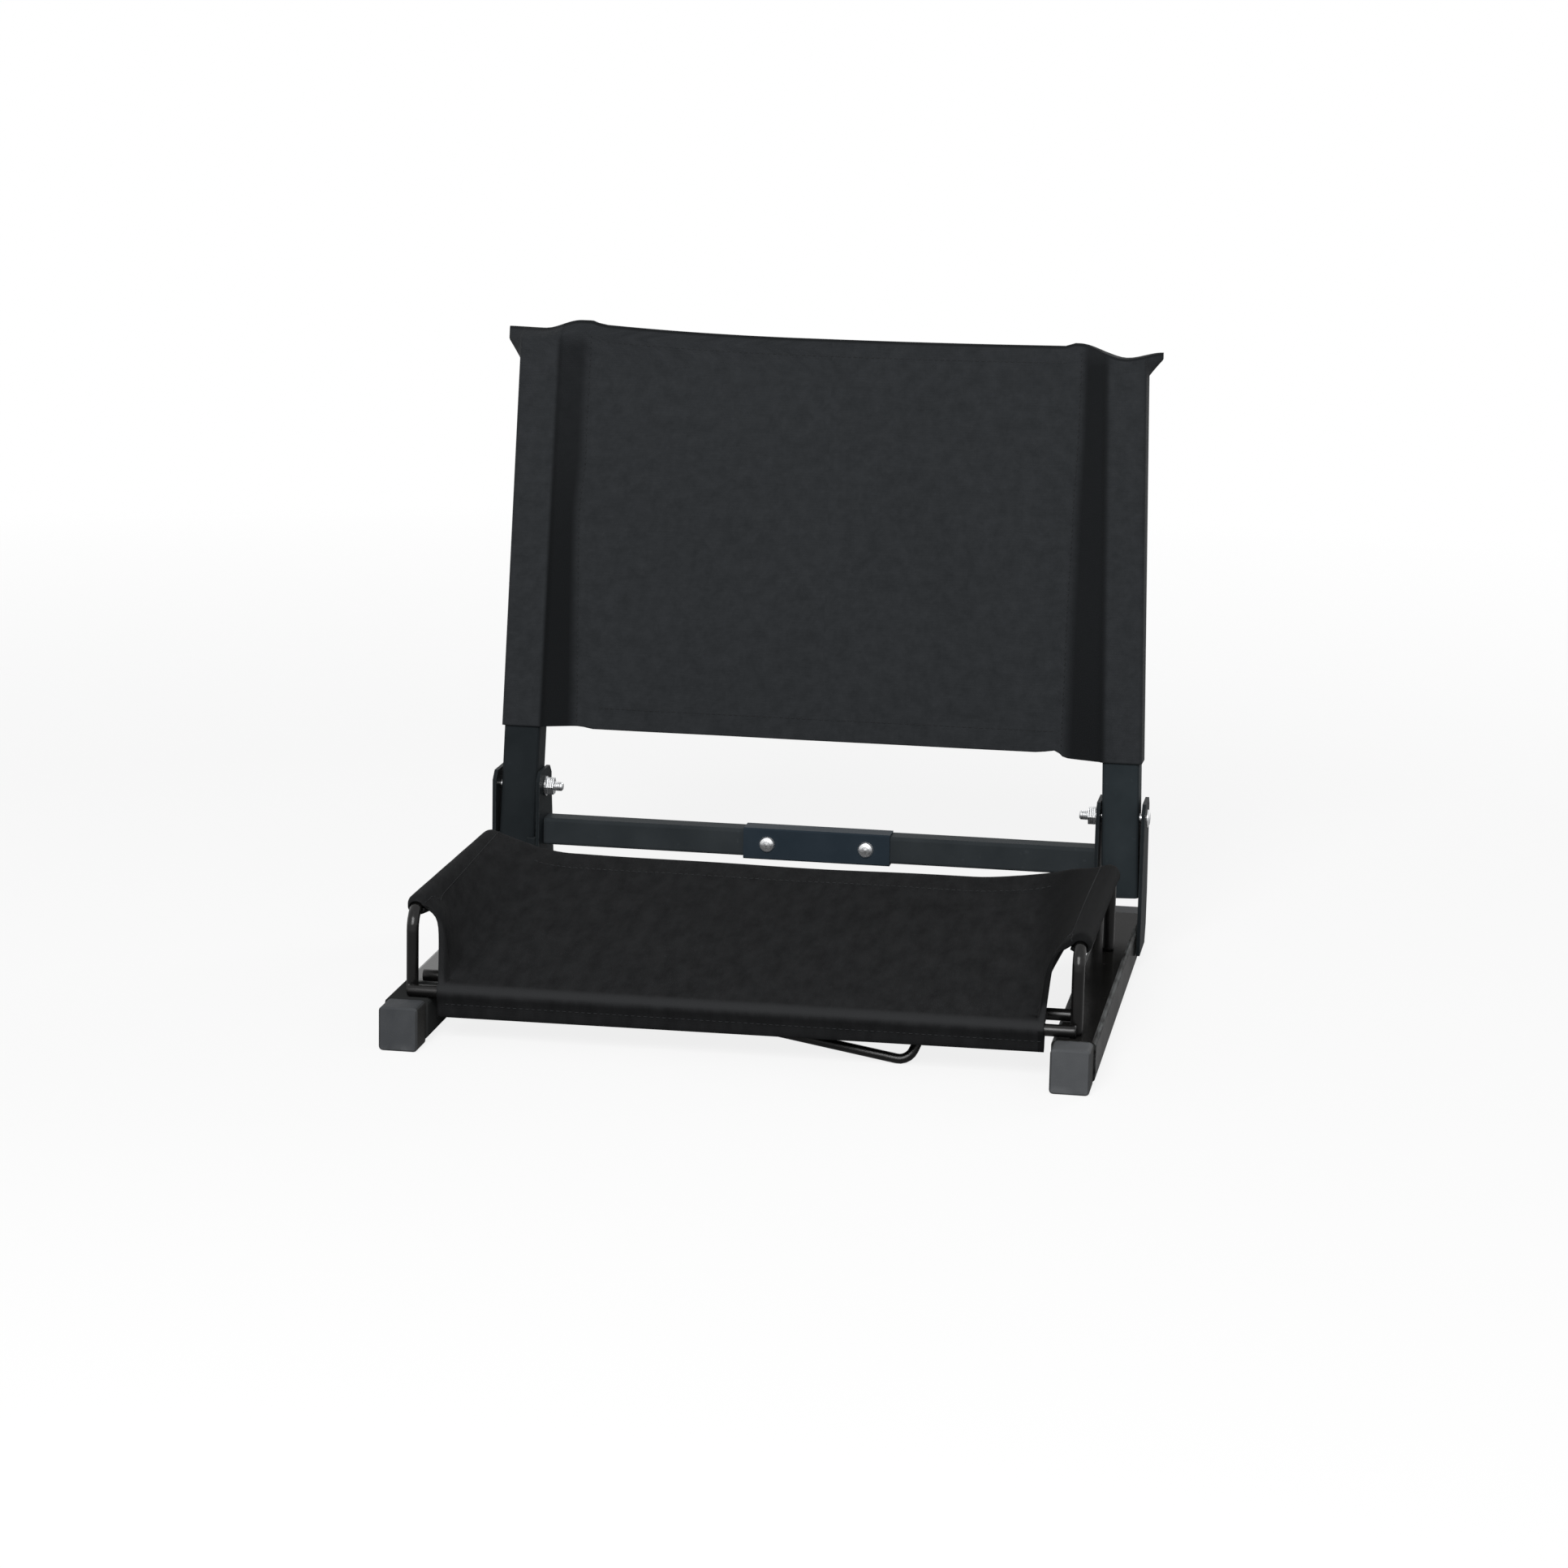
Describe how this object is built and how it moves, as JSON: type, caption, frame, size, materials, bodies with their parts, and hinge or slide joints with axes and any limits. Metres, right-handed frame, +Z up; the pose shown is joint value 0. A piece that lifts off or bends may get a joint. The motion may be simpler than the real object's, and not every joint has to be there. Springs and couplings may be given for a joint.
{
  "type": "stadium chair",
  "caption": "Folding stadium chair with sling seat and sling back on a low steel frame with rubber feet, a fold-down back on side bolts and a swinging bleacher hook.",
  "frame": {"origin": "on the ground, midway between the rubber feet", "axes": "+X to the right seen from the front, +Y to the back of the chair, +Z up"},
  "size_m": [0.4616, 0.396, 0.4276],
  "materials": {
    "black_paint": "gloss black paint",
    "black_wire": "gloss black paint on round bar",
    "zinc_plate": "bright zinc plate",
    "grey_rubber": "matt grey rubber",
    "black_plastic": "moulded black plastic",
    "seat_cloth": "black woven polyester",
    "back_cloth": "black woven polyester, two layers"
  },
  "bodies": {
    "base": {"base_rail_left": "black_paint", "base_rail_right": "black_paint", "pivot_plate_inner_left": "black_paint", "pivot_plate_inner_right": "black_paint", "pivot_plate_outer_left": "black_paint", "pivot_plate_outer_right": "black_paint", "back_stop_left": "black_paint", "back_stop_right": "black_paint", "crossbar_left": "black_paint", "crossbar_right": "black_paint", "crossbar_splice": "black_paint", "seat_hoop_left": "black_wire", "seat_hoop_right": "black_wire", "front_rod": "black_wire", "hook_rod": "black_wire", "pivot_bolt_left": "zinc_plate", "pivot_bolt_right": "zinc_plate", "pivot_nut_left": "zinc_plate", "pivot_nut_right": "zinc_plate", "pivot_washer_left": "zinc_plate", "pivot_washer_right": "zinc_plate", "splice_bolt_left": "zinc_plate", "splice_bolt_right": "zinc_plate", "splice_nut_left": "zinc_plate", "splice_nut_right": "zinc_plate", "front_foot_left": "grey_rubber", "front_foot_right": "grey_rubber", "rear_foot_left": "grey_rubber", "rear_foot_right": "grey_rubber", "seat_sling": "seat_cloth"},
    "back": {"upright_left": "black_paint", "upright_right": "black_paint", "upright_cap_left": "black_plastic", "upright_cap_right": "black_plastic", "back_sling": "back_cloth"},
    "hook": {"bleacher_hook": "black_wire"}
  },
  "joints": [
    {"name": "back_fold", "type": "hinge", "parent": "base", "child": "back", "pos_m": [0, 0.144, 0.1034], "axis": [1, 0, 0], "range_deg": [0, 91]},
    {"name": "hook_swing", "type": "hinge", "parent": "base", "child": "hook", "pos_m": [0, -0.13, 0.03287], "axis": [1, 0, 0], "range_deg": [0, 110]}
  ]
}
